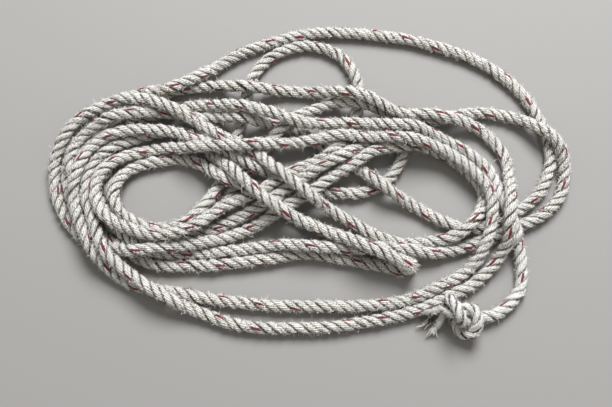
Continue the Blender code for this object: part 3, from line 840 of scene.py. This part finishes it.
def spun_fibre(name, clean, dark_tone, finish, relief):
    """Fibre or yarn that has come out of a strand, one cleaner and the next darker, from dirt and,
    on the raised fibres' lower sides, from painted shade.
    """
    # Matt like the strand, but paler and with a soft rim, as light gets through loose fibre
    material, shader = new_material(name, {**SPUN, "Sheen Weight": 0.3})
    place = add_node(material, "TexCoord", output="Object")
    tone = add_node(material, "Attribute", {"attribute_name": "tone"}, output="Fac")
    tufts = add_node(material, "TexNoise", {"Scale": TUFTS, **NOISE}, {"Vector": place})
    layers = (
        # Tone: random dirt, and on the raised fibres' lower sides painted shade
        (tone, 0.6, 1.0, 0.5, dark_tone),
        (tone, 0.86, 0.95, 0.7, finish.dirt_and_shade),
        (tufts, 0.575, 0.635, 0.85, finish.dirt_and_shade),
        (tone, DYED - 0.5, DYED, 0.95, finish.tracer),
    )
    cover(material, shader, clean, layers, ((tufts, relief),))
    return material


def dress(piece):
    """Puts a piece on the object's one body."""
    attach(piece, "root")
    return piece


def loose_yarns(name, kind, dark_tone, paths, radii, sides, tone):
    """Yarns that have come out of the strands, as one piece in a material of its own."""
    finish = bpy.context.scene.rope_finish
    material = spun_fibre(kind, finish.fibre, getattr(finish, dark_tone), finish, YARN_RELIEF)
    dress(tubes_mesh(name, paths, radii, material, sides, tone))


# What a user can change


class RopeFinish(bpy.types.PropertyGroup):
    """Colours of the rope's fibres, of what has got on to them and of the shade painted on them, as
    sRGB hex values.
    """

    fibre: StringProperty(name="Fibre", description="Clean spun fibre", default="#FCFCFC")
    bleached: StringProperty(name="Bleached", description="Sun-bleached fibre", default="#FFFFFF")
    greyed: StringProperty(name="Greyed", description="Fibre greyed in use", default="#E1DFDB")
    # Yellowed fibre, and the painted warm shade beside the grooves
    aged_and_warm_shade: StringProperty(name="Aged", description="Yellowed fibre, and painted warm shade by the grooves", default="#DACFB0")
    # Dirt specks, and painted shade where the yarns meet and on the lower fibres
    dirt_and_shade: StringProperty(name="Soiled", description="Dirt specks, and painted shade between yarns", default="#5C5034")
    # Painted shade in the grooves between the strands
    groove: StringProperty(name="Groove", description="Painted shade between strands", default="#2B2112")
    # Painted shade, olive tinted, on the rope's lower and side faces
    underside_shade: StringProperty(name="Underside", description="Painted shade on the underside", default="#6A613C")
    rust: StringProperty(name="Rust", description="Rust and earth marks", default="#94622F")
    tracer: StringProperty(name="Tracer", description="Dyed tracer yarn", default="#80142E")


class RopeFray(bpy.types.PropertyGroup):
    """How frayed the rope is."""

    fibres: IntProperty(name="Fibres", description="Short raised fibres", default=72000, min=0)
    fibre_width: FloatProperty(
        name="Fibre width", description="Width of a fibre", default=0.33 * MM, unit="LENGTH"
    )
    hairs: IntProperty(name="Hairs", description="Longer stray hairs", default=1800, min=0)
    snags: IntProperty(name="Snags", description="Pulled yarn ends", default=70, min=0)


class RopeStage(bpy.types.PropertyGroup):
    """The floor and the light round the coil."""

    floor: StringProperty(name="Floor", description="Floor, as sRGB hex", default="#ADACAC")
    sky: FloatProperty(name="Sky", description="Strength of the even light", default=0.29, min=0)
    lamp: FloatProperty(
        name="Lamp", description="Power of the soft lamp", default=59.0, min=0, unit="POWER"
    )


# Operators


class ROPE_OT_lay_strands(bpy.types.Operator):
    """Lay up the three strands along the settled centre line, with the tail's strands apart"""

    bl_idname = "rope.lay_strands"
    bl_label = "Lay strands"

    def execute(self, context):
        finish = context.scene.rope_finish
        plain = staple_rope("staple_spun_strand", finish, tracer=False)
        marked = staple_rope("staple_spun_strand_with_tracer", finish, tracer=True)
        for number, name in enumerate(("strand_marked", "strand_second", "strand_third")):
            strand = dress(strand_mesh(name, number, plain if number else marked))
            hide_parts(NODE)
        line = cord_path()
        return {"FINISHED"}


class ROPE_OT_raise_fibres(bpy.types.Operator):
    """Raise short broken fibres and longer stray hairs all over the rope"""

    bl_idname = "rope.raise_fibres"
    bl_label = "Raise fibres"

    def execute(self, context):
        fray, finish = context.scene.rope_fray, context.scene.rope_finish
        # Broken fibre, bleached by the sun: a pale fuzz with next to no thickness
        clean, dark_tone = finish.bleached, finish.greyed
        material = spun_fibre("loose_staple_fibre", clean, dark_tone, finish, FIBRE_RELIEF)
        width = fray.fibre_width / MM
        rng = np.random.default_rng(FIBRE_SEED)
        for strand, name in enumerate(("fibres_marked", "fibres_second", "fibres_third")):
            paths, tone = raised_paths(rng, fray.fibres // 3, strand, *FIBRES)
            widths = width * np.tile(FIBRE_TAPER, (len(paths), 1))
            dress(ribbons_mesh(name, paths, widths, material, tone))
        paths, tone = raised_on_all(rng, fray.hairs, HAIRS)
        widths = width * np.tile(HAIR_TAPER, (len(paths), 1))
        dress(ribbons_mesh("stray_hairs", paths, widths, material, tone))
        return {"FINISHED"}


class ROPE_OT_fray_plain_end(bpy.types.Operator):
    """Spread the cut yarn ends over the plain end's rounding and its last few millimetres"""

    bl_idname = "rope.fray_plain_end"
    bl_label = "Fray plain end"

    def execute(self, context):
        along, points, tangents, side, up = rope_frames()
        rng = np.random.default_rng(END_SEED)

        # Over the end's face, evenly spread and splayed at its edge
        share = np.sqrt((np.arange(END_STUBS) + 0.5) / END_STUBS)[:, None]
        outward = turned_to(np.arange(END_STUBS) * GOLDEN_ANGLE, side[-1], up[-1])
        scatter = FACE_SCATTER * rng.normal(size=(END_STUBS, 3))
        head = unit(tangents[-1] + FACE_SPLAY * share**2 * outward + scatter)
        dome = DOME * (1 - np.sqrt(1 - FACE_CURVE * share**2))
        top = points[-1] - dome * tangents[-1] + END_RADIUS * share * outward
        face = stubs(rng, top, head)

        # Round the rope next to it, leaning out
        place = np.searchsorted(along, along[-1] - rng.uniform(*SIDE_REACH, SIDE_STUBS))
        outward = turned_to(rng.uniform(0, 2 * np.pi, SIDE_STUBS), side[place], up[place])
        swell, _ = end_sizes(along[-1] - along[place])
        scatter = SIDE_SCATTER * rng.normal(size=(SIDE_STUBS, 3))
        head = unit(SIDE_ALONG * tangents[place] + SIDE_SPLAY * outward + scatter)
        top = points[place] + outward * (0.5 * ROPE_DIAMETER * swell - STUB_SUNK)[:, None]
        paths = np.concatenate([face, stubs(rng, top, head)])
        sizes = rng.uniform(*STUB_SIZES, (len(paths), 1))
        radii = np.tile(STUB_RADII, (len(paths), 1)) * sizes
        # Yarn cut across: blunt, pale tips, yellower where they are older
        tone = rng.random(len(paths))
        loose_yarns("plain_end_yarns", "cut_yarn_end", "aged_and_warm_shade", paths, radii, YARN_SIDES, tone)
        return {"FINISHED"}


class ROPE_OT_fray_tail(bpy.types.Operator):
    """Draw loose yarns out of the tips of the three unlaid strands"""

    bl_idname = "rope.fray_tail"
    bl_label = "Fray tail"

    def execute(self, context):
        rng = np.random.default_rng(TAIL_SEED)
        paths, radii = [], []
        for number in range(3):
            _, centres, heads, out, across, depth, width = strand_rings(number)
            for yarn in range(TAIL_YARNS):
                turn = 2 * np.pi * yarn / TAIL_YARNS + rng.uniform(-TAIL_TURN, TAIL_TURN)
                root = int(rng.integers(*TAIL_ROOTS))
                cosine, sine = np.cos(turn) * YARN_OUT, np.sin(turn) * YARN_OUT
                offset = cosine * depth[TAIL_RING] * out[root]
                offset += sine * width[TAIL_RING] * across[root]
                scatter = TAIL_SCATTER * rng.normal(size=3)
                head = unit(-heads[root] + TAIL_SPLAY * offset + scatter)
                step = rng.uniform(*TAIL_STEPS) * (SHORTER if number == 0 else 1.0)
                bend = TAIL_BEND * rng.normal(size=3)
                path = [centres[root] + offset]
                for _ in TAIL_RADII[1:]:
                    path.append(path[-1] + head * step)
                    head = unit(head + bend - (0, 0, TAIL_DROOP))
                paths.append(path)
                radii.append(np.array(TAIL_RADII) * rng.uniform(*TAIL_SIZES))
        paths, radii = np.array(paths), np.array(radii)
        paths[..., 2] = np.maximum(paths[..., 2], radii)
        # Yarn that has come untwisted: soft, dull and yellowing
        tone = rng.random(len(paths))
        loose_yarns("tail_yarns", "frayed_yarn", "aged_and_warm_shade", paths, radii, YARN_SIDES, tone)
        return {"FINISHED"}


class ROPE_OT_pull_snags(bpy.types.Operator):
    """Pull a few short yarn ends out of the strands along the rope"""

    bl_idname = "rope.pull_snags"
    bl_label = "Pull snags"

    def execute(self, context):
        snags = context.scene.rope_fray.snags
        paths, tone = raised_on_all(np.random.default_rng(SNAG_SEED), snags, SNAGS)
        radii = np.tile(SNAG_RADII, (len(paths), 1))
        # Yarn pulled out of its place: as pale as the fuzz, but thick enough to cast a shadow
        loose_yarns("snagged_yarns", "snagged_yarn", "greyed", paths, radii, SNAG_SIDES, tone)
        return {"FINISHED"}


class ROPE_OT_set_stage(bpy.types.Operator):
    """Add the plain floor, the soft light from the far side and the camera above the near side"""

    bl_idname = "rope.set_stage"
    bl_label = "Set stage"

    def execute(self, context):
        scene, stage = context.scene, context.scene.rope_stage
        half = FLOOR_SIDE / 2
        mesh = bpy.data.meshes.new("floor")
        corners = [(-half, -half, 0), (half, -half, 0), (half, half, 0), (-half, half, 0)]
        mesh.from_pydata(corners, [], [(0, 1, 2, 3)])
        # Matt paint: plain and pale, so that only the coil's shadow shows on it
        paint = {"Base Color": linear(stage.floor), "Roughness": 0.9}
        mesh.materials.append(new_material("matt_painted_floor", paint)[0])
        add_object("floor", mesh)

        world = bpy.data.worlds.new("even_sky")
        world.use_nodes = True
        background = world.node_tree.nodes["Background"]
        background.inputs["Color"].default_value = SKY_COLOUR
        background.inputs["Strength"].default_value = stage.sky
        scene.world = world

        data = bpy.data.lights.new("soft_lamp", "AREA")
        data.shape = "DISK"
        data.size = LAMP_SIZE
        data.energy = stage.lamp
        data.color = LAMP_COLOUR
        aim = (-Vector(LAMP_PLACE)).to_track_quat("-Z", "Y").to_euler()
        add_object("soft_lamp", data, LAMP_PLACE, aim)

        data = bpy.data.cameras.new("camera")
        data.lens = LENS
        scene.camera = add_object("camera", data, CAMERA_PLACE, (CAMERA_TILT, 0, 0))
        scene.view_settings.view_transform = "Standard"
        return {"FINISHED"}


class ROPE_PT_panel(bpy.types.Panel):
    """The rope's settings and the steps that build it"""

    bl_idname = "ROPE_PT_panel"
    bl_label = "Coiled laid rope"
    bl_space_type = "VIEW_3D"
    bl_region_type = "UI"
    bl_category = "Rope"

    def draw(self, context):
        for name, group in GROUPS.items():
            box = self.layout.box()
            for key in group.__annotations__:
                box.prop(getattr(context.scene, name), key)
        for step in STEPS:
            self.layout.operator(step.bl_idname)


STEPS = (
    ROPE_OT_set_stage,
    ROPE_OT_lay_strands,
    ROPE_OT_fray_plain_end,
    ROPE_OT_fray_tail,
    ROPE_OT_pull_snags,
    ROPE_OT_raise_fibres,
)
GROUPS = {"rope_finish": RopeFinish, "rope_fray": RopeFray, "rope_stage": RopeStage}


def register():
    for cls in (*GROUPS.values(), *STEPS, ROPE_PT_panel):
        bpy.utils.register_class(cls)
    for key, group in GROUPS.items():
        setattr(bpy.types.Scene, key, PointerProperty(type=group))


def unregister():
    for key in GROUPS:
        delattr(bpy.types.Scene, key)
    for cls in reversed((*GROUPS.values(), *STEPS, ROPE_PT_panel)):
        bpy.utils.unregister_class(cls)


def main():
    register()
    bpy.ops.rope.set_stage()
    bpy.ops.rope.lay_strands()
    bpy.ops.rope.fray_plain_end()
    bpy.ops.rope.fray_tail()
    bpy.ops.rope.pull_snags()
    bpy.ops.rope.raise_fibres()


if __name__ == "__main__":
    main()
